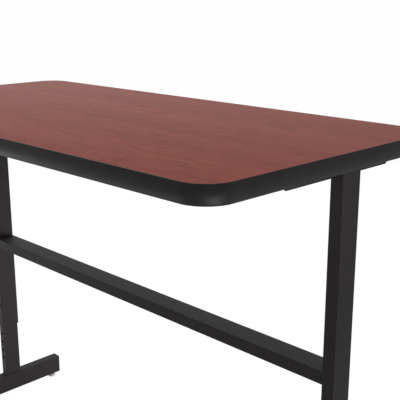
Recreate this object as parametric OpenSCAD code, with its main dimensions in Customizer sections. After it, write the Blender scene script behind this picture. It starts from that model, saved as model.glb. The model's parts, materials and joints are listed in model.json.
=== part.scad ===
// Height-adjustable desk on two telescoping legs joined by a crossbar.
// Millimetres. X runs along the desk, Y from front to back and Z up.
// The origin is on the floor under the middle of the top.

/* [Desk top] */
// Length of the laminated top, left to right
top_length = 1219.2; // [900:0.1:1600]
// Depth of the laminated top, front to back
top_depth = 609.6; // [520:0.1:900]
// Thickness of the whole top
top_thickness = 31.75; // [26:0.05:40]
// Radius of the top's corners, seen from above
corner_radius = 50.8; // [20:0.1:120]
// Thickness of the wood-grain sheet on the top
laminate_thickness = 1.2; // [0.6:0.1:2]
// Thickness of the plain sheet under the top
backer_thickness = 0.6; // [0.4:0.1:1.5]

/* [Edge band] */
// Width of the band's edge beside the laminate
band_edge = 1.0; // [0.5:0.1:2]
// How far the band's rounded face bulges past its edges
band_bulge = 3.0; // [1:0.1:5]
// Gap between the band and the side of the top
band_fit = 0.05; // [0.02:0.01:0.2]
// Thickness of the tongue that holds the band in its groove
tongue_thickness = 1.8; // [1.2:0.1:3]
// Depth of the tongue
tongue_depth = 9; // [6:0.5:14]
// Height of the barbs on the tongue
barb_height = 0.25; // [0.1:0.05:0.5]
// Gap between the tongue's barbs and the groove
groove_clearance = 0.1; // [0.05:0.05:0.3]

/* [Steel tube] */
// Narrow side of the tube that the legs, feet and crossbar are cut from
tube_width = 25.4; // [22:0.1:40]
// Wide side of that tube
tube_depth = 50.8; // [40:0.1:70]
// Wall of that tube
tube_wall = 1.2; // [1:0.1:1.6]
// Outer corner radius of that tube
tube_corner = 0.8; // [0.6:0.1:3]

/* [Legs] */
// From the end of the laminate to the outer face of the leg
leg_inset = 28.575; // [10:0.005:120]
// How far the legs stand behind the middle of the top
leg_offset = 75; // [0:0.5:100]
// Length of the upper leg
upper_leg_length = 648.5; // [640:0.1:800]
// Height of the lock screw above the lower end of the upper leg
lock_height = 52; // [45:0.5:80]
// Wall of the lower leg
lower_wall = 1.6; // [1.2:0.1:2]
// Length of the lower leg above its highest hole
lower_leg_spare = 127; // [60:1:140]
// Wall of the plastic sleeve between the two legs
sleeve_wall = 0.9; // [0.7:0.1:1.5]
// Length of that sleeve
sleeve_length = 36; // [20:1:38]
// Gap on each side of a leg that slides
slide_clearance = 0.1; // [0.05:0.01:0.1]
// Height of the plug that guides the top of the lower leg
plug_height = 14; // [8:1:25]
// Depth that the plug reaches into the lower leg
plug_insert = 18; // [10:1:30]

/* [Height steps] */
// Distance between two height settings
hole_pitch = 25.4; // [20:0.1:40]
// Height settings below the one shown
steps_down = 6; // [1:1:7]
// Height settings above the one shown
steps_up = 6; // [1:1:7]
// Diameter of the adjusting holes
hole_diameter = 9; // [8.6:0.1:11]
// Gap between the upper leg and the foot at the lowest setting
lowest_gap = 1.0; // [0.5:0.1:10]

/* [Lock screws] */
// Diameter of the threaded stem
lock_diameter = 8; // [6:0.1:8.2]
// Pitch of its thread
lock_pitch = 1.25; // [1:0.05:1.5]
// Turns from backed out to screwed in
lock_turns = 6; // [5:1:7]
// Width of the block that the screw runs in
lock_block_width = 22.8; // [18:0.1:25]
// Height of that block
lock_block_height = 25.4; // [18:0.1:30]
// Thickness of that block
lock_block_thickness = 8; // [5:0.5:12]
// Diameter of the knob
knob_diameter = 25; // [18:0.5:34]
// Thickness of the knob
knob_thickness = 12; // [10:0.5:20]
// Depth that the stem reaches into the knob
knob_bore_depth = 9; // [5:0.5:9]
// Grooves around the knob
knob_flutes = 8; // [5:1:12]
// Radius of those grooves
flute_radius = 3; // [2:0.25:4]

/* [Feet] */
// Length of a foot, end caps included
foot_length = 468; // [420:1:600]
// Thickness of an end cap outside the foot
cap_thickness = 2.5; // [1.5:0.1:5]
// Depth that an end cap reaches into the foot
cap_insert = 11; // [6:0.5:12]
// Wall of that inner part
cap_wall = 1.5; // [1:0.1:2.5]
// From the end of the foot to the middle of a glide
glide_inset = 21.5; // [21:0.5:40]

/* [Glides] */
// Diameter of the glide's base
glide_diameter = 22.2; // [16:0.1:30]
// Thickness of that base
glide_base_height = 7; // [5:0.1:10]
// Thickness of the hexagon above the base
glide_hex_height = 3.6; // [2.5:0.1:6]
// Width of that hexagon and of the nut, across flats
hex_flats = 13; // [12:0.1:15]
// Gap between the hexagon and the foot when screwed in
glide_seat_gap = 0.3; // [0.1:0.1:0.5]
// Diameter of the glide's stem
glide_stem_diameter = 8; // [6:0.1:8.4]
// Length of the stem above the hexagon
glide_stem_length = 25; // [22:0.5:32]
// Thickness of the nut inside the foot
glide_nut_height = 6.5; // [5:0.1:8]
// How far a glide screws out
glide_travel = 12; // [6:0.5:14]
// Depth that the stem is moulded into the base
glide_root = 4; // [2:0.5:4.5]

/* [Top brackets] */
// Length of a bracket along the underside
bracket_length = 304.8; // [220:0.1:420]
// Height of its upright flange
bracket_height = 25.4; // [15:0.1:50]
// Thickness of its steel
bracket_thickness = 3.2; // [2:0.1:4]
// Size of its cut corners
bracket_chamfer = 8; // [3:0.5:14]
// From the middle of the leg to the inner screws
bracket_screw_inner = 60; // [40:1:80]
// From the middle of the leg to the outer screws
bracket_screw_outer = 130; // [100:1:140]

/* [Wood screws] */
// Diameter of the wood screws' shanks
wood_screw_diameter = 4.8; // [4:0.1:5.5]
// Diameter of their heads
wood_screw_head = 9.4; // [8:0.1:11]
// Thickness of their heads
wood_screw_head_height = 3; // [2.5:0.1:4]
// Wood left above their tips
wood_screw_cover = 9; // [6:0.5:10]

/* [Crossbar] */
// Height of the crossbar above the lower end of the upper legs
bar_rise = 242; // [180:0.5:320]
// Gap between the crossbar's end and the leg
bar_end_gap = 0.2; // [0.1:0.1:0.5]
// Length of the stub that holds the crossbar
stub_length = 60; // [45:1:90]
// Wall of the stub
stub_wall = 2.5; // [2:0.1:3.5]
// Gap between the stub and the inside of the crossbar
stub_clearance = 0.3; // [0.1:0.05:0.5]
// Diameter of the crossbar's screws
bar_screw_diameter = 6; // [5:0.1:8]
// Diameter of their heads
bar_screw_head = 10.5; // [9:0.1:14]
// Thickness of their heads
bar_screw_head_height = 3.3; // [2.5:0.1:5]
// Length of their shanks
bar_screw_length = 9; // [8:0.5:14]
// From the leg to the nearer screw of a pair
bar_screw_first = 18; // [12:0.5:20]
// Distance between the two screws of a pair
bar_screw_spacing = 25; // [16:0.5:26]

/* [Fits] */
// Gap around a thread in its nut
thread_clearance = 0.05; // [0.02:0.01:0.1]
// Gap around a screw in a plain hole
screw_clearance = 0.4; // [0.2:0.1:0.6]
// Gap around a part that is pushed in and stays
push_clearance = 0.1; // [0.05:0.05:0.2]

/* [Hidden] */
$fn = 96;

left = -1;
right = 1;
front = -1;
back = 1;
// Overlap that lets a cut run past the face that it opens
past = 1;

// Heights above the floor, from the glides up
glide_hex_top = glide_base_height + glide_hex_height;
foot_bottom = glide_hex_top + glide_seat_gap;
foot_top = foot_bottom + tube_depth;
lowest_hole = foot_top + lowest_gap + lock_height;
highest_hole = lowest_hole + (steps_down + steps_up) * hole_pitch;
lower_leg_top = highest_hole + lower_leg_spare;
upper_leg_bottom = foot_top + lowest_gap + steps_down * hole_pitch;
upper_leg_top = upper_leg_bottom + upper_leg_length;
lock_level = upper_leg_bottom + lock_height;
bar_bottom = upper_leg_bottom + bar_rise;
underside = upper_leg_top + bracket_thickness;
core_bottom = underside + backer_thickness;
top_surface = underside + top_thickness;
core_top = top_surface - laminate_thickness;
band_middle = underside + top_thickness / 2;

// Places along and across the desk
leg_outer = top_length / 2 - leg_inset;
leg_inner = leg_outer - tube_width;
leg_x = leg_outer - tube_width / 2;
leg_y = leg_offset;
leg_front = leg_y - tube_depth / 2;
foot_end = foot_length / 2;

// The hollow of the tube, and what runs in it
void_width = tube_width - 2 * tube_wall;
void_depth = tube_depth - 2 * tube_wall;
void_corner = inner_radius(tube_corner, tube_wall);
lower_gap = tube_wall + sleeve_wall + slide_clearance;
lower_width = tube_width - 2 * lower_gap;
lower_depth = tube_depth - 2 * lower_gap;
lower_corner = inner_radius(void_corner + lower_wall, sleeve_wall);

// The band's rounded face is one arc of this radius
band_arc = (pow(top_thickness / 2, 2) + pow(band_bulge, 2)) / (2 * band_bulge);
barb_length = tongue_depth / 4;
barb_spacing = 0.4;
groove_end_gap = 1;
groove_height = tongue_thickness + 2 * (barb_height + groove_clearance);
groove_depth = tongue_depth + groove_end_gap;

// Lock screw, backed out as shown
lock_tip_gap = 0.3;
lock_tip = leg_front + lower_gap - lock_tip_gap;
lock_travel = lock_turns * lock_pitch;
knob_seat_gap = 0.5;
knob_back = leg_front - lock_block_thickness - lock_travel - knob_seat_gap;
lock_stem_end = knob_back - knob_bore_depth;
knob_bevel = 1.5;

// Wood screws, from the flange up into the core
wood_screw_tip = core_top - wood_screw_cover;
wood_screw_point = 4;
wood_screw_blunt = 0.4;

// Domes of screw heads, as shares of the head's radius and thickness
dome_flat = 0.62;
dome_side = 0.4;
// Recesses of screw heads, as shares of the head's width or the shank's
cross_length = 0.55;
cross_width = 0.14;
socket_width = 0.66;
socket_depth = 0.6;

// Rounding of a glide's base
glide_bevel = 0.8;
glide_side = 0.55;
glide_top = 0.78;

// Crossbar
bar_half_length = leg_inner - bar_end_gap;

function inner_radius(outer, wall) = max(0.3, outer - wall);

// Shapes that repeat

// Draws right-hand parts as they are and left-hand parts mirrored
module on_side(side) {
    mirror([side < 0 ? 1 : 0, 0, 0]) children();
}

module rounded_rectangle(width, depth, radius) {
    square([width - 2 * radius, depth], center = true);
    square([width, depth - 2 * radius], center = true);
    for (sx = [-1, 1], sy = [-1, 1])
        translate([sx * (width / 2 - radius), sy * (depth / 2 - radius)])
            circle(r = radius);
}

// Upright rectangular tube that stands on z = 0
module tube(width, depth, length, radius, wall) {
    linear_extrude(height = length)
        difference() {
            rounded_rectangle(width, depth, radius);
            rounded_rectangle(
                width - 2 * wall, depth - 2 * wall, inner_radius(radius, wall)
            );
        }
}

module steel_tube(length) {
    tube(tube_width, tube_depth, length, tube_corner, tube_wall);
}

// Slab in the top's outline, drawn in from it by inset
module top_slab(inset, bottom, top) {
    translate([0, 0, bottom])
        linear_extrude(height = top - bottom)
            rounded_rectangle(
                top_length - 2 * inset, top_depth - 2 * inset, corner_radius - inset
            );
}

// Places its children at each screw of a bracket
module at_bracket_screws() {
    for (across = [-bracket_screw_outer, -bracket_screw_inner,
            bracket_screw_inner, bracket_screw_outer])
        translate([leg_x, leg_y + across, 0]) children();
}

// Places its children at each screw of one end of the crossbar
module at_bar_screws() {
    for (along = [bar_screw_first, bar_screw_first + bar_screw_spacing])
        translate([leg_inner - along, leg_y, bar_bottom]) children();
}

// Cylinder along Y from one place to another, at the lock screw
module along_lock(diameter, from, to) {
    translate([leg_x, to, lock_level])
        rotate([90, 0, 0])
            cylinder(d = diameter, h = to - from);
}

// Desk top

module tabletop_core() {
    color("burlywood")
        difference() {
            top_slab(0, core_bottom, core_top);
            difference() {
                top_slab(-past, band_middle - groove_height / 2, band_middle + groove_height / 2);
                top_slab(groove_depth, underside, top_surface);
            }
            for (side = [left, right])
                on_side(side)
                    at_bracket_screws()
                        translate([0, 0, underside])
                            cylinder(
                                d = wood_screw_diameter + 2 * thread_clearance,
                                h = wood_screw_tip + past / 2 - underside
                            );
        }
}

module top_laminate() {
    color([0.52, 0.33, 0.29])
        top_slab(0, core_top, top_surface);
}

module backer_sheet() {
    color([0.16, 0.15, 0.15])
        difference() {
            top_slab(0, underside, core_bottom);
            for (side = [left, right])
                on_side(side)
                    at_bracket_screws()
                        translate([0, 0, underside - past])
                            cylinder(
                                d = wood_screw_diameter + 2 * thread_clearance,
                                h = backer_thickness + 2 * past
                            );
        }
}

// Outline of the band: x = 0 is the side of the top, y = 0 the middle of its thickness
module band_profile() {
    intersection() {
        translate([band_edge + band_bulge - band_arc, 0])
            circle(r = band_arc, $fn = 360);
        translate([band_fit, -top_thickness / 2])
            square([band_edge + band_bulge, top_thickness]);
    }
    translate([-tongue_depth, -tongue_thickness / 2])
        square([tongue_depth + band_edge, tongue_thickness]);
    for (barb = [0 : 2], up = [-1, 1])
        translate([-tongue_depth + barb * (barb_length + barb_spacing), up * tongue_thickness / 2])
            polygon([[0, 0], [barb_length, 0], [barb_length, up * barb_height]]);
}

module edge_band() {
    color([0.15, 0.15, 0.15])
        translate([0, 0, band_middle])
            for (quarter = [0 : 3]) {
                along = quarter % 2 == 0 ? top_depth : top_length;
                across = quarter % 2 == 0 ? top_length : top_depth;
                rotate([0, 0, 90 * quarter]) {
                    translate([across / 2, 0, 0])
                        rotate([90, 0, 0])
                            linear_extrude(height = along - 2 * corner_radius, center = true)
                                band_profile();
                    translate([across / 2 - corner_radius, along / 2 - corner_radius, 0])
                        rotate_extrude(angle = 90)
                            translate([corner_radius, 0])
                                band_profile();
                }
            }
}

// Bent steel bracket: a flange over the leg's end and an upright flange on its inner face
module top_bracket(side) {
    half = bracket_length / 2;
    low = underside - bracket_height;
    color([0.2, 0.2, 0.2])
        on_side(side)
            difference() {
                union() {
                    translate([leg_inner, leg_y, 0])
                        rotate([90, 0, -90])
                            linear_extrude(height = bracket_thickness)
                                polygon([
                                    [-half, underside],
                                    [-half, low + bracket_chamfer],
                                    [-half + bracket_chamfer, low],
                                    [half - bracket_chamfer, low],
                                    [half, low + bracket_chamfer],
                                    [half, underside]
                                ]);
                    translate([leg_inner - bracket_thickness, leg_y - half, upper_leg_top])
                        cube([tube_width + bracket_thickness, bracket_length, bracket_thickness]);
                }
                at_bracket_screws()
                    translate([0, 0, upper_leg_top - past])
                        cylinder(
                            d = wood_screw_diameter + 2 * screw_clearance,
                            h = bracket_thickness + 2 * past
                        );
            }
}

module wood_screw() {
    shank = wood_screw_diameter / 2;
    head = wood_screw_head / 2;
    tip = wood_screw_tip - upper_leg_top;
    difference() {
        rotate_extrude()
            polygon([
                [0, -wood_screw_head_height],
                [head * dome_flat, -wood_screw_head_height],
                [head, -wood_screw_head_height * dome_side],
                [head, 0],
                [shank, 0],
                [shank, tip - wood_screw_point],
                [wood_screw_blunt, tip],
                [0, tip]
            ]);
        for (turn = [0, 90])
            rotate([0, 0, turn])
                translate([0, 0, -wood_screw_head_height])
                    cube([
                        wood_screw_head * cross_length,
                        wood_screw_head * cross_width,
                        wood_screw_head_height
                    ], center = true);
    }
}

module bracket_screws(side) {
    color("silver")
        on_side(side)
            at_bracket_screws()
                translate([0, 0, upper_leg_top])
                    wood_screw();
}

// Upper legs

module upper_leg(side) {
    color([0.2, 0.2, 0.2])
        on_side(side)
            difference() {
                translate([leg_x, leg_y, upper_leg_bottom])
                    steel_tube(upper_leg_length);
                along_lock(
                    lock_diameter + 2 * screw_clearance,
                    leg_front - past,
                    leg_front + tube_wall + past
                );
            }
}

module leg_sleeve(side) {
    color("dimgray")
        on_side(side)
            translate([leg_x, leg_y, upper_leg_bottom])
                tube(void_width, void_depth, sleeve_length, void_corner, sleeve_wall);
}

module lock_block(side) {
    color([0.1, 0.1, 0.1])
        on_side(side)
            difference() {
                translate([
                    leg_x - lock_block_width / 2,
                    leg_front - lock_block_thickness,
                    lock_level - lock_block_height / 2
                ])
                    cube([lock_block_width, lock_block_thickness, lock_block_height]);
                along_lock(
                    lock_diameter + 2 * thread_clearance,
                    leg_front - lock_block_thickness - past,
                    leg_front + past
                );
            }
}

module lock_stem(side) {
    color("silver")
        on_side(side)
            along_lock(lock_diameter, lock_stem_end + thread_clearance, lock_tip);
}

// The knob's flutes follow its rim
module lock_knob(side) {
    rim = knob_diameter / 2;
    color([0.1, 0.1, 0.1])
        on_side(side)
            difference() {
                translate([leg_x, knob_back, lock_level])
                    rotate([90, 0, 0])
                        difference() {
                            rotate_extrude()
                                polygon([
                                    [0, 0],
                                    [rim - knob_bevel, 0],
                                    [rim, knob_bevel],
                                    [rim, knob_thickness - knob_bevel],
                                    [rim - knob_bevel, knob_thickness],
                                    [0, knob_thickness]
                                ]);
                            for (flute = [0 : knob_flutes - 1])
                                rotate([0, 0, (flute + 0.5) * 360 / knob_flutes])
                                    translate([rim + flute_radius / 2, 0, -past])
                                        cylinder(r = flute_radius, h = knob_thickness + 2 * past);
                        }
                along_lock(lock_diameter + 2 * thread_clearance, lock_stem_end, knob_back + past);
            }
}

// Crossbar

module crossbar() {
    color([0.2, 0.2, 0.2])
        difference() {
            translate([-bar_half_length, leg_y, bar_bottom + tube_width / 2])
                rotate([0, 90, 0])
                    steel_tube(2 * bar_half_length);
            for (side = [left, right])
                on_side(side)
                    at_bar_screws()
                        translate([0, 0, -past])
                            cylinder(
                                d = bar_screw_diameter + 2 * screw_clearance,
                                h = tube_wall + 2 * past
                            );
        }
}

module crossbar_stub(side) {
    width = void_width - 2 * stub_clearance;
    depth = void_depth - 2 * stub_clearance;
    corner = inner_radius(void_corner, stub_clearance);
    color([0.2, 0.2, 0.2])
        on_side(side)
            difference() {
                translate([leg_inner - stub_length, leg_y, bar_bottom + tube_width / 2])
                    rotate([0, 90, 0])
                        tube(width, depth, stub_length, corner, stub_wall);
                at_bar_screws()
                    translate([0, 0, tube_wall])
                        cylinder(
                            d = bar_screw_diameter + 2 * thread_clearance,
                            h = stub_clearance + stub_wall + past
                        );
            }
}

module crossbar_screws(side) {
    shank = bar_screw_diameter / 2;
    head = bar_screw_head / 2;
    color("dimgray")
        on_side(side)
            at_bar_screws()
                difference() {
                    rotate_extrude()
                        polygon([
                            [0, -bar_screw_head_height],
                            [head * dome_flat, -bar_screw_head_height],
                            [head, -bar_screw_head_height * dome_side],
                            [head, 0],
                            [shank, 0],
                            [shank, bar_screw_length],
                            [0, bar_screw_length]
                        ]);
                    translate([0, 0, -bar_screw_head_height - past])
                        cylinder(
                            d = bar_screw_diameter * socket_width,
                            h = past + bar_screw_head_height * socket_depth,
                            $fn = 6
                        );
                }
}

// Lower legs

module lower_leg(side) {
    wall_back = leg_y - lower_depth / 2 + lower_wall;
    color([0.2, 0.2, 0.2])
        on_side(side)
            difference() {
                translate([leg_x, leg_y, foot_top])
                    tube(lower_width, lower_depth, lower_leg_top - foot_top, lower_corner, lower_wall);
                for (setting = [0 : steps_down + steps_up])
                    translate([leg_x, wall_back + past, lowest_hole + setting * hole_pitch])
                        rotate([90, 0, 0])
                            cylinder(d = hole_diameter, h = lower_wall + 2 * past);
            }
}

// Plug in the top of the lower leg, which guides it inside the upper leg
module leg_plug(side) {
    hollow_width = lower_width - 2 * lower_wall;
    hollow_depth = lower_depth - 2 * lower_wall;
    color("dimgray")
        on_side(side)
            translate([leg_x, leg_y, lower_leg_top]) {
                linear_extrude(height = plug_height)
                    rounded_rectangle(
                        void_width - 2 * slide_clearance,
                        void_depth - 2 * slide_clearance,
                        void_corner
                    );
                translate([0, 0, -plug_insert])
                    linear_extrude(height = plug_insert)
                        rounded_rectangle(
                            hollow_width - 2 * push_clearance,
                            hollow_depth - 2 * push_clearance,
                            inner_radius(lower_corner, lower_wall) + push_clearance
                        );
            }
}

// Feet

// Tube along Y in the middle of the foot's height, from one end cap to the other
module foot(side) {
    tube_length = foot_length - 2 * cap_thickness;
    color([0.2, 0.2, 0.2])
        on_side(side)
            difference() {
                translate([leg_x, tube_length / 2, foot_bottom + tube_depth / 2])
                    rotate([90, 0, 0])
                        steel_tube(tube_length);
                for (end = [front, back])
                    translate([leg_x, end * (foot_end - glide_inset), foot_bottom - past])
                        cylinder(
                            d = glide_stem_diameter + 2 * screw_clearance,
                            h = tube_wall + 2 * past
                        );
            }
}

// End cap: a plate in the tube's outline on a hollow plug
module foot_cap(side, end) {
    color([0.12, 0.12, 0.12])
        on_side(side)
            translate([leg_x, 0, foot_bottom + tube_depth / 2])
                mirror([0, end < 0 ? 1 : 0, 0])
                    translate([0, foot_end - cap_thickness, 0])
                        rotate([90, 0, 0]) {
                            translate([0, 0, -cap_thickness])
                                linear_extrude(height = cap_thickness)
                                    rounded_rectangle(tube_width, tube_depth, tube_corner);
                            tube(
                                void_width - 2 * push_clearance,
                                void_depth - 2 * push_clearance,
                                cap_insert,
                                void_corner,
                                cap_wall
                            );
                        }
}

module glide_nuts(side) {
    color("silver")
        on_side(side)
            for (end = [front, back])
                translate([leg_x, end * (foot_end - glide_inset), foot_bottom + tube_wall])
                    difference() {
                        cylinder(d = hex_flats / cos(30), h = glide_nut_height, $fn = 6);
                        translate([0, 0, -past])
                            cylinder(
                                d = glide_stem_diameter + 2 * thread_clearance,
                                h = glide_nut_height + 2 * past
                            );
                    }
}

module glide_stem(side, end) {
    color("silver")
        on_side(side)
            translate([leg_x, end * (foot_end - glide_inset), 0]) {
                translate([0, 0, glide_base_height])
                    cylinder(d = hex_flats / cos(30), h = glide_hex_height, $fn = 6);
                translate([0, 0, glide_base_height - glide_root])
                    cylinder(
                        d = glide_stem_diameter,
                        h = glide_root + glide_hex_height + glide_stem_length
                    );
            }
}

module glide_base(side, end) {
    rim = glide_diameter / 2;
    color("gainsboro")
        on_side(side)
            translate([leg_x, end * (foot_end - glide_inset), 0])
                difference() {
                    rotate_extrude()
                        polygon([
                            [0, 0],
                            [rim - glide_bevel, 0],
                            [rim, glide_bevel],
                            [rim, glide_base_height * glide_side],
                            [rim * glide_top, glide_base_height],
                            [0, glide_base_height]
                        ]);
                    translate([0, 0, glide_base_height - glide_root - thread_clearance])
                        cylinder(
                            d = glide_stem_diameter + 2 * thread_clearance,
                            h = glide_root + thread_clearance + past
                        );
                }
}

tabletop_core();
top_laminate();
backer_sheet();
edge_band();
top_bracket(left);  // left_top_bracket
top_bracket(right);  // right_top_bracket
bracket_screws(left);  // left_bracket_screws
bracket_screws(right);  // right_bracket_screws
upper_leg(left);  // left_upper_leg
upper_leg(right);  // right_upper_leg
leg_sleeve(left);  // left_leg_sleeve
leg_sleeve(right);  // right_leg_sleeve
lock_block(left);  // left_lock_block
lock_block(right);  // right_lock_block
lock_stem(left);  // left_lock_stem
lock_stem(right);  // right_lock_stem
lock_knob(left);  // left_lock_knob
lock_knob(right);  // right_lock_knob
crossbar();
crossbar_stub(left);  // left_crossbar_stub
crossbar_stub(right);  // right_crossbar_stub
crossbar_screws(left);  // left_crossbar_screws
crossbar_screws(right);  // right_crossbar_screws
lower_leg(left);  // left_lower_leg
lower_leg(right);  // right_lower_leg
leg_plug(left);  // left_leg_plug
leg_plug(right);  // right_leg_plug
foot(left);  // left_foot
foot(right);  // right_foot
foot_cap(left, front);  // left_foot_front_cap
foot_cap(right, front);  // right_foot_front_cap
foot_cap(left, back);  // left_foot_back_cap
foot_cap(right, back);  // right_foot_back_cap
glide_nuts(left);  // left_glide_nuts
glide_nuts(right);  // right_glide_nuts
glide_stem(left, front);  // left_front_glide_stem
glide_stem(right, front);  // right_front_glide_stem
glide_stem(left, back);  // left_back_glide_stem
glide_stem(right, back);  // right_back_glide_stem
glide_base(left, front);  // left_front_glide_base
glide_base(right, front);  // right_front_glide_base
glide_base(left, back);  // left_back_glide_base
glide_base(right, back);  // right_back_glide_base
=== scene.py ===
"""A height-adjustable desk: a wood-grain laminate top with a rounded black edge band,
on two telescoping steel legs joined by a crossbar. Metres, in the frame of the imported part."""

import json
import math

import bmesh
import bpy
from mathutils import Matrix, Vector

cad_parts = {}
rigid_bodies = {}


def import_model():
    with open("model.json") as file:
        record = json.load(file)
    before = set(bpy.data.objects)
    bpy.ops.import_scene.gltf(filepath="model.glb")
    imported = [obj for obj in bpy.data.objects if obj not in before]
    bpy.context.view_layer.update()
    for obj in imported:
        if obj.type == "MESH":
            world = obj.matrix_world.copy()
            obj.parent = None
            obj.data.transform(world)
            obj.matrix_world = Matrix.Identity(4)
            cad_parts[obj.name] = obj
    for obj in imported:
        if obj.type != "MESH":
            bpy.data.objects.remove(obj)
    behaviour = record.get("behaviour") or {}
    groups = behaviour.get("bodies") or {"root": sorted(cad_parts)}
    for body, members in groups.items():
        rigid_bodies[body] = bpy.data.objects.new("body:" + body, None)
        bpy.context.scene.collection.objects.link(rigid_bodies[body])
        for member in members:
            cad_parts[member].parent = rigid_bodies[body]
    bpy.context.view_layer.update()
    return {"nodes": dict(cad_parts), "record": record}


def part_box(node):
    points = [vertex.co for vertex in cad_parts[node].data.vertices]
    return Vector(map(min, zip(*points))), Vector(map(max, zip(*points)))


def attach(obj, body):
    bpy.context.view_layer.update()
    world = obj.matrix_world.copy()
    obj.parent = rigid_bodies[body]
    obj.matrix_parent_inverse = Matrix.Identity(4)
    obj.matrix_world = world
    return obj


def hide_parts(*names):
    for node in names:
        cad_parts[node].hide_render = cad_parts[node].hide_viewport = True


MM = 0.001
SIDES = ("left", "right")
ENDS = ("front", "back")

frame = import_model()
nodes = frame["nodes"]


# Camera

CAMERA_PLACE = Vector((1.30255, -1.00925, 1.14663))
CAMERA_TURN = (math.radians(75), 0, math.radians(45))
LENS = 70
SENSOR_WIDTH = 36
NEAREST_SEEN = 0.05
FARTHEST_SEEN = 500


def make_camera():
    data = bpy.data.cameras.new("camera")
    data.lens = LENS
    data.sensor_width = SENSOR_WIDTH
    data.clip_start = NEAREST_SEEN
    data.clip_end = FARTHEST_SEEN
    camera = bpy.data.objects.new("camera", data)
    camera.location = CAMERA_PLACE
    camera.rotation_euler = CAMERA_TURN
    bpy.context.scene.collection.objects.link(camera)
    bpy.context.scene.camera = camera


make_camera()


# Shader helpers. Every texture is laid out in the frame's own metres.


class Shader:
    """A Principled material with short calls for the nodes that drive it."""

    def __init__(self, name):
        self.material = bpy.data.materials.new(name)
        self.material.use_nodes = True
        self.tree = self.material.node_tree
        self.surface = self.tree.nodes["Principled BSDF"]
        self.place = self.tree.nodes.new("ShaderNodeTexCoord").outputs["Object"]

    def node(self, kind, **settings):
        made = self.tree.nodes.new(kind)
        for key, value in settings.items():
            setattr(made, key, value)
        return made

    def link(self, source, target):
        self.tree.links.new(source, target)

    def set(self, **values):
        """Constants on the surface's own sockets, such as Roughness=0.4."""
        for key, value in values.items():
            self.surface.inputs[key.replace("_", " ")].default_value = value

    def scaled(self, per_metre):
        """The place in the object, stretched by the given repeats per metre along X, Y and Z."""
        made = self.node("ShaderNodeMapping")
        self.link(self.place, made.inputs["Vector"])
        made.inputs["Scale"].default_value = per_metre
        return made.outputs["Vector"]

    def noise(self, per_metre, detail=2, distortion=0.0, roughness=0.5):
        """Cloudy noise from 0 to 1, with one number or three of repeats per metre."""
        if not isinstance(per_metre, tuple):
            per_metre = (per_metre, per_metre, per_metre)
        made = self.node("ShaderNodeTexNoise")
        self.link(self.scaled(per_metre), made.inputs["Vector"])
        made.inputs["Scale"].default_value = 1
        made.inputs["Detail"].default_value = detail
        made.inputs["Roughness"].default_value = roughness
        made.inputs["Distortion"].default_value = distortion
        return made.outputs["Fac"]

    def chips(self, per_metre):
        """Distance from the middle of each of many small cells."""
        made = self.node("ShaderNodeTexVoronoi")
        self.link(self.scaled(per_metre), made.inputs["Vector"])
        made.inputs["Scale"].default_value = 1
        return made.outputs["Distance"]

    def spread(self, value, low, high, to_low=0.0, to_high=1.0):
        """Maps low...high to to_low...to_high, held at the ends."""
        made = self.node("ShaderNodeMapRange", interpolation_type="SMOOTHSTEP")
        self.link(value, made.inputs["Value"])
        made.inputs["From Min"].default_value = low
        made.inputs["From Max"].default_value = high
        made.inputs["To Min"].default_value = to_low
        made.inputs["To Max"].default_value = to_high
        return made.outputs["Result"]

    def ramp(self, value, stops):
        """Colours at places from 0 to 1, blended between."""
        made = self.node("ShaderNodeValToRGB")
        band = made.color_ramp
        while len(band.elements) < len(stops):
            band.elements.new(1)
        for element, (place, colour) in zip(band.elements, stops):
            element.position = place
            element.color = (*colour, 1)
        self.link(value, made.inputs["Fac"])
        return made.outputs["Color"]

    def tinted(self, base, pattern, low, high, colour, strength):
        """Base blended towards colour where the pattern rises from low to high, up to strength."""
        made = self.node("ShaderNodeMix", data_type="RGBA", blend_type="MIX")
        amount = self.node("ShaderNodeMath", operation="MULTIPLY")
        self.link(self.spread(pattern, low, high), amount.inputs[0])
        amount.inputs[1].default_value = strength
        self.link(amount.outputs[0], made.inputs["Factor"])
        self.link(base, made.inputs["A"])
        made.inputs["B"].default_value = (*colour, 1)
        return made.outputs["Result"]

    def added(self, first, second, share):
        """First, and a share of second."""
        made = self.node("ShaderNodeMath", operation="MULTIPLY_ADD")
        self.link(second, made.inputs[0])
        made.inputs[1].default_value = share
        self.link(first, made.inputs[2])
        return made.outputs[0]

    def colour(self, source):
        self.link(source, self.surface.inputs["Base Color"])

    def rough(self, pattern, low, high):
        """Roughness from low to high over the middle of the pattern."""
        self.link(self.spread(pattern, 0.3, 0.7, low, high), self.surface.inputs["Roughness"])

    def bump(self, height, depth, strength):
        made = self.node("ShaderNodeBump")
        self.link(height, made.inputs["Height"])
        made.inputs["Distance"].default_value = depth
        made.inputs["Strength"].default_value = strength
        self.link(made.outputs["Normal"], self.surface.inputs["Normal"])


def shade(colour, factor):
    return tuple(part * factor for part in colour)


# Colours, as linear red, green and blue

CHERRY = (0.233, 0.063, 0.048)
CHERRY_DARK = (0.158, 0.0413, 0.0313)
CHERRY_LIGHT = (0.27, 0.0827, 0.0618)
CHERRY_GOLD = (0.23, 0.0765, 0.0504)
BAND_DARK = (0.0147, 0.0138, 0.014)
BAND_LIGHT = (0.0185, 0.0175, 0.0178)
POWDER_DARK = (0.03, 0.0262, 0.028)
POWDER_LIGHT = (0.044, 0.0386, 0.0412)
POWDER_SHEEN = (1.0, 0.92, 0.96, 1)
CHIP_DARK = (0.36, 0.23, 0.12)
CHIP_LIGHT = (0.5, 0.35, 0.2)
CHIP_EDGE = (0.22, 0.13, 0.07)
BACKER_DARK = (0.022, 0.02, 0.019)
BACKER_LIGHT = (0.03, 0.027, 0.025)
LOCK_BLACK = (0.009, 0.009, 0.009)
CAP_BLACK = (0.016, 0.0155, 0.0155)
GUIDE_GREY = (0.05, 0.05, 0.05)
GLIDE_WHITE = (0.84, 0.84, 0.83)
ZINC = (0.62, 0.63, 0.65)
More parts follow.
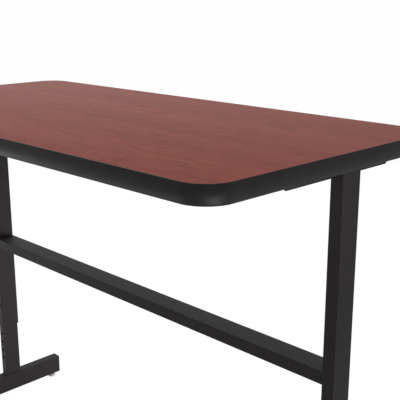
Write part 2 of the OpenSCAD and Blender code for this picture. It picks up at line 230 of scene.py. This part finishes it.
SCREW_BLACK = (0.05, 0.05, 0.05)


# Materials. Noise is given in repeats per metre, and the grain of the wood runs along X.


def laminate_material():
    """Cherry laminate: soft bands, then tone, year lines, flecks, light streaks, ticks and pores."""
    look = Shader("laminate")
    bands = look.noise((0.45, 15, 1), distortion=0.3)
    base = look.ramp(bands, [(0.3, shade(CHERRY, 0.87)), (0.5, CHERRY), (0.7, shade(CHERRY, 1.12))])
    tone = look.noise((4, 26, 1), detail=3, distortion=0.4)
    base = look.tinted(base, tone, 0.45, 0.65, CHERRY_GOLD, 0.6)
    lines = look.noise((1.6, 130, 1), detail=3, distortion=0.5)
    base = look.tinted(base, lines, 0.42, 0.68, CHERRY_DARK, 0.36)
    flecks = look.noise((16, 95, 1), detail=4, distortion=0.5, roughness=0.6)
    base = look.tinted(base, flecks, 0.52, 0.68, CHERRY_DARK, 0.72)
    streaks = look.noise((24, 130, 2), detail=3, roughness=0.6)
    base = look.tinted(base, streaks, 0.52, 0.7, CHERRY_LIGHT, 0.5)
    ticks = look.noise((60, 330, 1), detail=3, roughness=0.65)
    base = look.tinted(base, ticks, 0.5, 0.66, CHERRY_DARK, 0.4)
    pores = look.noise((60, 1300, 1))
    base = look.tinted(base, pores, 0.55, 0.7, CHERRY_DARK, 0.5)
    look.colour(base)
    look.set(Specular_IOR_Level=0.0019)
    look.rough(pores, 0.2, 0.28)
    look.bump(look.added(look.noise(500), pores, 0.6), 0.01 * MM, 0.3)
    return look.material


def edge_band_material():
    """Black vinyl, smooth and slightly cloudy."""
    look = Shader("edge_band")
    cloud = look.noise((30, 30, 60))
    look.colour(look.ramp(cloud, [(0.3, BAND_DARK), (0.7, BAND_LIGHT)]))
    look.set(Specular_IOR_Level=0.074)
    look.rough(cloud, 0.3, 0.38)
    look.bump(look.noise(700), 0.02 * MM, 0.5)
    return look.material


def powder_material():
    """Fine-textured black powder coat."""
    look = Shader("powder_coat")
    orange_peel = look.noise(900)
    cloud = look.noise(14, detail=3)
    tone = look.added(orange_peel, cloud, 0.5)
    look.colour(look.ramp(tone, [(0.5, POWDER_DARK), (0.95, POWDER_LIGHT)]))
    look.set(Specular_IOR_Level=0.09, Specular_Tint=POWDER_SHEEN)
    look.rough(orange_peel, 0.46, 0.58)
    grit = look.noise(2400, detail=1)
    look.bump(look.added(orange_peel, grit, 0.4), 0.12 * MM, 0.7)
    return look.material


def plastic_material(name, colour, roughness, grain=1500, depth=0.03 * MM, specular=0.4):
    """Moulded plastic with a fine spark-eroded grain and a slight cloudiness."""
    look = Shader(name)
    cloud = look.noise(60)
    look.colour(look.ramp(cloud, [(0.3, shade(colour, 0.9)), (0.7, shade(colour, 1.1))]))
    look.set(Specular_IOR_Level=specular)
    fine = look.noise(grain)
    look.rough(fine, roughness - 0.05, roughness + 0.05)
    look.bump(fine, depth, 0.6)
    return look.material


def metal_material(name, colour, roughness):
    """Plated or blackened steel, slightly uneven."""
    look = Shader(name)
    cloud = look.noise(120, detail=3)
    look.colour(look.ramp(cloud, [(0.3, shade(colour, 0.88)), (0.7, shade(colour, 1.08))]))
    look.set(Metallic=1.0)
    fine = look.noise(300)
    look.rough(fine, roughness - 0.06, roughness + 0.08)
    look.bump(fine, 0.02 * MM, 0.4)
    return look.material


def board_material():
    """Particle board: pressed chips in several browns."""
    look = Shader("board")
    chips = look.chips((260, 260, 600))
    cloud = look.noise((200, 200, 400))
    base = look.ramp(cloud, [(0.3, CHIP_DARK), (0.7, CHIP_LIGHT)])
    look.colour(look.tinted(base, chips, 0.35, 0.6, CHIP_EDGE, 0.7))
    look.set(Specular_IOR_Level=0.2, Roughness=0.85)
    look.bump(chips, 0.2 * MM, 0.8)
    return look.material


def backer_material():
    """Plain dark backing sheet with a faint fibre."""
    look = Shader("backer")
    fibre = look.noise((60, 900, 1), detail=3)
    look.colour(look.ramp(fibre, [(0.3, BACKER_DARK), (0.7, BACKER_LIGHT)]))
    look.set(Specular_IOR_Level=0.12)
    look.rough(fibre, 0.5, 0.62)
    look.bump(fibre, 0.04 * MM, 0.5)
    return look.material


MATERIALS = {
    "laminate": laminate_material(),
    "edge_band": edge_band_material(),
    "powder_coat": powder_material(),
    "board": board_material(),
    "backer": backer_material(),
    "lock_plastic": plastic_material("lock_plastic", LOCK_BLACK, 0.42, 900, 0.05 * MM),
    "cap_plastic": plastic_material("cap_plastic", CAP_BLACK, 0.5, 1200, 0.04 * MM, 0.3),
    "guide_plastic": plastic_material("guide_plastic", GUIDE_GREY, 0.45),
    "glide_plastic": plastic_material("glide_plastic", GLIDE_WHITE, 0.4),
    "zinc": metal_material("zinc", ZINC, 0.3),
    "black_screw": metal_material("black_screw", SCREW_BLACK, 0.45),
}
SLOT_OF = {part["node"]: part["material_slot"] for part in frame["record"]["subparts"]}


def dress_nodes():
    for name, node in nodes.items():
        node.material_slots[0].material = MATERIALS[SLOT_OF[name]]


dress_nodes()


# Mesh helpers


def body_of(node):
    return nodes[node].parent.name.split(":")[1]


def new_piece(name, mesh_parts, slot, body, replaced=(), sharp=40):
    """A smooth-shaded mesh, sharp where faces turn by more than the given degrees."""
    points, faces = mesh_parts
    mesh = bpy.data.meshes.new(name)
    mesh.from_pydata([tuple(point) for point in points], [], faces)
    mesh.validate()
    shape = bmesh.new()
    shape.from_mesh(mesh)
    bmesh.ops.recalc_face_normals(shape, faces=shape.faces)
    shape.to_mesh(mesh)
    shape.free()
    mesh.shade_smooth()
    mesh.set_sharp_from_angle(angle=math.radians(sharp))
    mesh.materials.append(MATERIALS[slot])
    piece = bpy.data.objects.new(name, mesh)
    bpy.context.scene.collection.objects.link(piece)
    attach(piece, body)
    if replaced:
        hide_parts(*replaced)


def skin(rings):
    """Points and faces of a closed tube through rings of equally many points."""
    count = len(rings[0])
    points = [point for ring in rings for point in ring]
    faces = []
    for low in range(0, len(points) - count, count):
        for here in range(count):
            after = (here + 1) % count
            faces.append((low + here, low + after, low + count + after, low + count + here))
    last = len(points) - count
    faces.append(tuple(reversed(range(count))))
    faces.append(tuple(range(last, last + count)))
    return points, faces


def turned(place, profile, segments, radius_at=None):
    """Points and faces of a form turned about the local Z axis of place.
    profile lists (along, radius); radius_at(angle, along, radius) shapes the round."""
    rings = []
    for along, radius in profile:
        ring = []
        for step in range(segments):
            angle = 2 * math.pi * step / segments
            reach = radius_at(angle, along, radius) if radius_at else radius
            ring.append(place @ Vector((reach * math.cos(angle), reach * math.sin(angle), along)))
        rings.append(ring)
    return skin(rings)


def rounded(start, end, steps=6):
    """A quarter ellipse from start to end, leaving start along the radius."""
    places = []
    for step in range(steps + 1):
        angle = math.pi / 2 * step / steps
        along = end[0] + (start[0] - end[0]) * math.cos(angle)
        radius = start[1] + (end[1] - start[1]) * math.sin(angle)
        places.append((along, radius))
    return places


# Edge band

TOP_CORNER = 50.8 * MM
CORNER_STEPS = 24
BAND_EDGE = 1.0 * MM
BAND_ARC_STEPS = 22
BAND_NOSE = 0.5 * MM
BAND_NOSE_CUT = 0.1 * MM
BAND_JOINT = 0.25 * MM
TONGUE_DEPTH = 9 * MM
TONGUE_THICKNESS = 1.8 * MM


def band_profile(height, bulge):
    """Points (out, up) round the band, with the tongue that sits in the groove of the board."""
    half = height / 2
    radius = (half ** 2 + bulge ** 2) / (2 * bulge)
    middle = BAND_EDGE + bulge - radius
    reach = math.asin((half - BAND_NOSE) / radius)
    nose = BAND_EDGE - BAND_NOSE
    cut = BAND_EDGE - BAND_NOSE_CUT
    points = [(0, half), (nose, half), (cut, half - BAND_NOSE_CUT)]
    for step in range(BAND_ARC_STEPS + 1):
        angle = reach * (1 - 2 * step / BAND_ARC_STEPS)
        points.append((middle + radius * math.cos(angle), radius * math.sin(angle)))
    points += [(cut, BAND_NOSE_CUT - half), (nose, -half), (0, -half)]
    tongue = TONGUE_THICKNESS / 2
    points += [(0, -tongue), (-TONGUE_DEPTH, -tongue), (-TONGUE_DEPTH, tongue), (0, tongue)]
    return points


def outline_places(half_length, half_depth):
    """Places round the top, each with its outward direction, from joint to joint at the back."""
    corner_x = half_length - TOP_CORNER
    corner_y = half_depth - TOP_CORNER
    corners = [
        (corner_x, corner_y, 90),
        (corner_x, -corner_y, 0),
        (-corner_x, -corner_y, -90),
        (-corner_x, corner_y, -180),
    ]
    backward = Vector((0, 1, 0))
    places = [(Vector((BAND_JOINT, half_depth, 0)), backward)]
    for x, y, start in corners:
        for step in range(CORNER_STEPS + 1):
            angle = math.radians(start - 90 * step / CORNER_STEPS)
            out = Vector((math.cos(angle), math.sin(angle), 0))
            places.append((Vector((x, y, 0)) + TOP_CORNER * out, out))
    places.append((Vector((-BAND_JOINT, half_depth, 0)), backward))
    return places


def make_edge_band():
    laminate_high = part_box("top_laminate")[1]
    band_low, band_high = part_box("edge_band")
    bulge = band_high.y - laminate_high.y - BAND_EDGE
    profile = band_profile(band_high.z - band_low.z, bulge)
    middle = (band_low.z + band_high.z) / 2
    rings = []
    for place, outward in outline_places(laminate_high.x, laminate_high.y):
        rings.append([place + outward * far + Vector((0, 0, middle + up)) for far, up in profile])
    new_piece("rounded_edge_band", skin(rings), "edge_band", "top_frame", ["edge_band"], sharp=35)


make_edge_band()


# Threads of the lock stems and glides

STEM_RADIUS = 4 * MM
THREAD_PITCH = 1.25 * MM
THREAD_DEPTH = 0.7 * MM
THREAD_FLAT = 0.12
THREAD_LEAD = 1.0 * MM
THREAD_LEAD_TAPER = 0.7
RINGS_PER_TURN = 8


def thread_reach(angle, along, radius):
    """Radius of a right-hand thread with flat crests, at an angle and a place along it."""
    turn = (along / THREAD_PITCH - angle / (2 * math.pi)) % 1
    ridge = min(1, max(0, (abs(2 * turn - 1) - THREAD_FLAT) / (1 - 2 * THREAD_FLAT)))
    return radius - THREAD_DEPTH * (1 - ridge)


def thread_profile(start, end):
    """Rings along a thread, narrowed at its far end."""
    count = round((end - start) / THREAD_PITCH * RINGS_PER_TURN)
    rings = []
    for step in range(count + 1):
        along = start + (end - start) * step / count
        narrowed = THREAD_LEAD_TAPER * max(0, along - (end - THREAD_LEAD))
        rings.append((along, STEM_RADIUS - narrowed))
    return rings


def lying(low, high, y, degrees):
    """A place in the middle of a box at the given y, with its Z axis turned to lie along Y."""
    middle = Matrix.Translation(((low.x + high.x) / 2, y, (low.z + high.z) / 2))
    return middle @ Matrix.Rotation(math.radians(degrees), 4, "X")


def make_lock_stem(side):
    node = side + "_lock_stem"
    low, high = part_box(node)
    place = lying(low, high, low.y, -90)
    thread = turned(place, thread_profile(0, high.y - low.y), 40, thread_reach)
    new_piece(side + "_lock_thread", thread, "zinc", body_of(node), [node], sharp=50)


# Lock knobs

KNOB_RADIUS = 12.5 * MM
KNOB_ROUND = 1.5 * MM
KNOB_BORE = 4.05 * MM
KNOB_BORE_DEPTH = 9 * MM
KNOB_FLUTES = 8
FLUTE_RADIUS = 3 * MM
FLUTE_REACH = 14 * MM
FLUTE_BLEND = 0.35 * MM
HOLLOW_DEPTH = 0.7 * MM
HOLLOW_RIM = 9 * MM
HOLLOW_FOOT = 7.6 * MM
HOLLOW_FLOOR = 5 * MM


def fluted(angle, along, radius):
    """Radius of the knob where round flutes cut into its rim."""
    pitch = 2 * math.pi / KNOB_FLUTES
    off = (angle % pitch) - pitch / 2
    across = FLUTE_REACH * math.sin(off)
    if abs(across) >= FLUTE_RADIUS:
        return radius
    limit = FLUTE_REACH * math.cos(off) - math.sqrt(FLUTE_RADIUS ** 2 - across ** 2)
    clear_of_flute = limit - radius > 8 * FLUTE_BLEND
    if clear_of_flute:
        return radius
    return -FLUTE_BLEND * math.log(math.exp(-radius / FLUTE_BLEND) + math.exp(-limit / FLUTE_BLEND))


def make_lock_knob(side):
    """From the bore that holds the stem, over the rim, to a shallow hollow in the face."""
    node = side + "_lock_knob"
    low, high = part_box(node)
    face = high.y - low.y
    floor = face - HOLLOW_DEPTH
    shoulder = KNOB_RADIUS - KNOB_ROUND
    profile = [(KNOB_BORE_DEPTH, KNOB_BORE), (0, KNOB_BORE)]
    profile += rounded((0, shoulder), (KNOB_ROUND, KNOB_RADIUS))
    profile += reversed(rounded((face, shoulder), (face - KNOB_ROUND, KNOB_RADIUS)))
    profile += reversed(rounded((floor, HOLLOW_FOOT), (face, HOLLOW_RIM)))
    profile.append((floor, HOLLOW_FLOOR))
    knob = turned(lying(low, high, high.y, 90), profile, 160, fluted)
    new_piece(side + "_fluted_knob", knob, "lock_plastic", body_of(node), [node])


# Levelling glides. Some of a base's sizes are shares of its height or its radius.

HEX_HALF = 6.5 * MM
HEX_EDGE = 6.75 * MM
HEX_HEIGHT = 3.6 * MM
HEX_CHAMFER = 0.45 * MM
BASE_CLEARANCE = 0.05 * MM
BASE_SHOULDER = 0.55
BASE_TOP = 0.8
BASE_TOP_EDGE = 0.86
BASE_TOP_ROUND = 0.9 * MM
BASE_SIDE = 0.975
BASE_STEP = 0.5 * MM
BASE_FOOT_ROUND = 0.8 * MM


def make_glide_screw(side, end, place, hex_low):
    """A plain stem in the base, a hexagon on it, and the thread above."""
    node = side + "_" + end + "_glide_stem"
    low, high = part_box(node)
    hex_high = hex_low + HEX_HEIGHT
    corner = HEX_HALF / math.cos(math.pi / 6)

    def reach(angle, along, radius):
        on_stem = radius < 1.2 * STEM_RADIUS
        if on_stem and along > hex_high:
            return thread_reach(angle, along, radius)
        if on_stem:
            return radius
        return min(HEX_HALF / math.cos(angle % (math.pi / 3) - math.pi / 6), radius)

    profile = [(low.z, STEM_RADIUS), (hex_low, STEM_RADIUS), (hex_low, HEX_EDGE)]
    profile += [(hex_low + HEX_CHAMFER, corner), (hex_high - HEX_CHAMFER, corner)]
    profile.append((hex_high, HEX_EDGE))
    profile += thread_profile(hex_high, high.z)
    screw = turned(place, profile, 48, reach)
    new_piece(side + "_" + end + "_glide_screw", screw, "zinc", body_of(node), [node])


def make_glide_foot(side, end, place, seat):
    """A plastic base with a bore for the stem, a sloped top and a rounded foot."""
    node = side + "_" + end + "_glide_base"
    low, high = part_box(node)
    rim = (high.y - low.y) / 2
    top = high.z
    bore = STEM_RADIUS + BASE_CLEARANCE
    shoulder = BASE_SHOULDER * top
    profile = [(seat - BASE_CLEARANCE, bore), (top, bore)]
    profile += rounded((top, BASE_TOP * rim), (top - BASE_TOP_ROUND, BASE_TOP_EDGE * rim))
    profile += [(shoulder + BASE_STEP, BASE_SIDE * rim), (shoulder, rim)]
    profile += reversed(rounded((0, rim - BASE_FOOT_ROUND), (BASE_FOOT_ROUND, rim)))
    foot = turned(place, profile, 64)
    new_piece(side + "_" + end + "_glide_foot", foot, "glide_plastic", body_of(node), [node])


def make_glide(side, end):
    low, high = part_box(side + "_" + end + "_glide_stem")
    base_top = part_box(side + "_" + end + "_glide_base")[1].z
    place = Matrix.Translation(((low.x + high.x) / 2, (low.y + high.y) / 2, 0))
    make_glide_screw(side, end, place, base_top)
    make_glide_foot(side, end, place, low.z)


for side in SIDES:
    make_lock_stem(side)
    make_lock_knob(side)
    for end in ENDS:
        make_glide(side, end)


# Weld beads

BEAD_SIDES = 12
BEAD_STEP = 0.5 * MM
BEAD_RIPPLE = 2.2 * MM
BEAD_RIPPLE_SHARE = 0.16
BEAD_TIP = 0.08
BEAD_TAPER = 1.5
FOOT_BEAD = 0.8 * MM
FOOT_BEAD_INSET = 2 * MM
HEAD_BEAD = 2 * MM
HEAD_BEAD_INSET = 3 * MM
BLOCK_BEAD = 1.2 * MM


def weld_bead(name, body, start, end, radius):
    """A rippled bead along a line, tapered at both ends."""
    start = Vector(start)
    end = Vector(end)
    along = (end - start).normalized()
    across = along.orthogonal().normalized()
    up = along.cross(across)
    length = (end - start).length
    count = max(8, round(length / BEAD_STEP))
    rings = []
    for step in range(count + 1):
        place = length * step / count
        ripple = 1 - BEAD_RIPPLE_SHARE * (place / BEAD_RIPPLE % 1) ** 2
        from_end = min(place, length - place) / (BEAD_TAPER * radius)
        reach = radius * ripple * math.sqrt(min(1, BEAD_TIP + from_end))
        ring = []
        for turn in range(BEAD_SIDES):
            angle = 2 * math.pi * turn / BEAD_SIDES
            ring.append(start + along * place + (across * math.cos(angle) + up * math.sin(angle)) * reach)
        rings.append(ring)
    new_piece(name, skin(rings), "powder_coat", body, sharp=60)


def bead_along_x(name, body, box, inset, y, z, radius):
    """A bead from side to side of a box, kept clear of its corners by inset."""
    low, high = box
    weld_bead(name, body, (low.x + inset, y, z), (high.x - inset, y, z), radius)


def weld_foot(side):
    """Beads where the lower leg stands on the foot."""
    body = body_of(side + "_foot")
    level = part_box(side + "_foot")[1].z
    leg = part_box(side + "_lower_leg")
    for end, edge in zip(ENDS, leg):
        name = side + "_foot_weld_" + end
        bead_along_x(name, body, leg, FOOT_BEAD_INSET, edge.y, level, FOOT_BEAD)


def weld_head(side):
    """Beads at the upper leg's end and along the bracket's flange inside it."""
    body = body_of(side + "_upper_leg")
    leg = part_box(side + "_upper_leg")
    low, high = leg
    for end, edge in zip(ENDS, leg):
        name = side + "_head_weld_" + end
        bead_along_x(name, body, leg, HEAD_BEAD_INSET, edge.y, high.z, HEAD_BEAD)
    inner = high.x if side == "left" else low.x
    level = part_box(side + "_top_bracket")[0].z
    front = (inner, low.y + HEAD_BEAD_INSET, level)
    back = (inner, high.y - HEAD_BEAD_INSET, level)
    weld_bead(side + "_flange_weld", body, front, back, HEAD_BEAD)


def weld_block(side):
    """Beads under and over the block that the lock screw runs in."""
    body = body_of(side + "_upper_leg")
    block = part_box(side + "_lock_block")
    for edge, corner in zip(("lower", "upper"), block):
        name = side + "_block_weld_" + edge
        bead_along_x(name, body, block, BLOCK_BEAD, block[1].y, corner.z, BLOCK_BEAD)


for side in SIDES:
    weld_foot(side)
    weld_head(side)
    weld_block(side)


# Floor and light

FLOOR_RADIUS = 180.0
FLOOR_SIDES = 96
PAPER = (0.8, 0.8, 0.8, 1)
WHITE_SHARE = 0.92
WHITE_LEVEL = 1.06
SKY_LEVEL = 0.2
SKY_SHOWN = 1.0

# Name, place, what it faces, width, height, power, spread in degrees
LAMPS = [
    ("overhead", (-0.6, 0.1, 3.6), (-0.1, 0.0, 0.5), 3.2, 2.6, 86, 180),
    ("bar_fill", (-0.34, 0.4, 0.64), (-0.28, 0.075, 0.48), 2.1, 0.12, 0.38, 95),
    ("leg_fill", (0.35, 0.75, 0.22), (-0.56, 0.08, 0.25), 0.35, 0.42, 1.05, 70),
    ("low_left", (-1.5, -0.5, 0.12), (-0.5, 0.0, 0.5), 0.6, 0.24, 0.13, 90),
    ("leg_front", (-1.1, -0.5, 0.1), (-0.57, 0.05, 0.14), 0.3, 0.15, 0.1, 40),
    ("band_left", (-1.55, -0.6, 0.28), (-0.5, -0.31, 0.88), 0.5, 0.2, 0.26, 50),
    ("corner", (0.96, -0.42, 0.61), (0.6, -0.3, 0.88), 0.6, 0.22, 0.54, 60),
    ("front_low", (-0.45, -0.72, 0.3), (-0.1, -0.32, 0.88), 1.4, 0.2, 0.56, 50),
]


def shown_to_view(tree):
    """One for rays from the camera, in reflections and through glass, else nought."""
    path = tree.nodes.new("ShaderNodeLightPath")
    seen = path.outputs["Is Camera Ray"]
    for other in ("Is Glossy Ray", "Is Transmission Ray"):
        either = tree.nodes.new("ShaderNodeMath")
        either.operation = "MAXIMUM"
        tree.links.new(seen, either.inputs[0])
        tree.links.new(path.outputs[other], either.inputs[1])
        seen = either.outputs[0]
    return seen


def studio_material():
    """White to the view, but for a share of plain paper that keeps the object's shadow."""
    material = bpy.data.materials.new("studio")
    material.use_nodes = True
    tree = material.node_tree
    tree.nodes.clear()
    paper = tree.nodes.new("ShaderNodeBsdfDiffuse")
    paper.inputs["Color"].default_value = PAPER
    white = tree.nodes.new("ShaderNodeEmission")
    white.inputs["Strength"].default_value = WHITE_LEVEL
    share = tree.nodes.new("ShaderNodeMath")
    share.operation = "MULTIPLY"
    share.inputs[1].default_value = WHITE_SHARE
    mixed = tree.nodes.new("ShaderNodeMixShader")
    output = tree.nodes.new("ShaderNodeOutputMaterial")
    tree.links.new(shown_to_view(tree), share.inputs[0])
    tree.links.new(share.outputs[0], mixed.inputs["Fac"])
    tree.links.new(paper.outputs["BSDF"], mixed.inputs[1])
    tree.links.new(white.outputs["Emission"], mixed.inputs[2])
    tree.links.new(mixed.outputs["Shader"], output.inputs["Surface"])
    return material


def make_studio():
    """A flat white floor that reaches the horizon."""
    points = []
    for step in range(FLOOR_SIDES):
        angle = 2 * math.pi * step / FLOOR_SIDES
        points.append((FLOOR_RADIUS * math.cos(angle), FLOOR_RADIUS * math.sin(angle), 0))
    mesh = bpy.data.meshes.new("studio_floor")
    mesh.from_pydata(points, [], [tuple(range(FLOOR_SIDES))])
    mesh.materials.append(studio_material())
    floor = bpy.data.objects.new("studio_floor", mesh)
    bpy.context.scene.collection.objects.link(floor)


def softbox(name, place, target, width, height, power, spread):
    data = bpy.data.lights.new(name, "AREA")
    data.shape = "RECTANGLE"
    data.size = width
    data.size_y = height
    data.energy = power
    data.spread = math.radians(spread)
    lamp = bpy.data.objects.new(name, data)
    lamp.location = place
    aim = Vector(target) - Vector(place)
    lamp.rotation_euler = aim.to_track_quat("-Z", "Y").to_euler()
    lamp.visible_camera = False
    bpy.context.scene.collection.objects.link(lamp)


def make_light():
    """A sky that shows white and lights the object dimly, and soft lamps."""
    world = bpy.data.worlds.new("studio")
    world.use_nodes = True
    tree = world.node_tree
    sky = tree.nodes["Background"]
    sky.inputs["Color"].default_value = (1, 1, 1, 1)
    level = tree.nodes.new("ShaderNodeMapRange")
    level.inputs["To Min"].default_value = SKY_LEVEL
    level.inputs["To Max"].default_value = SKY_SHOWN
    tree.links.new(shown_to_view(tree), level.inputs["Value"])
    tree.links.new(level.outputs["Result"], sky.inputs["Strength"])
    bpy.context.scene.world = world
    for lamp in LAMPS:
        softbox(*lamp)


make_studio()
make_light()
bpy.context.scene.view_settings.view_transform = "Standard"
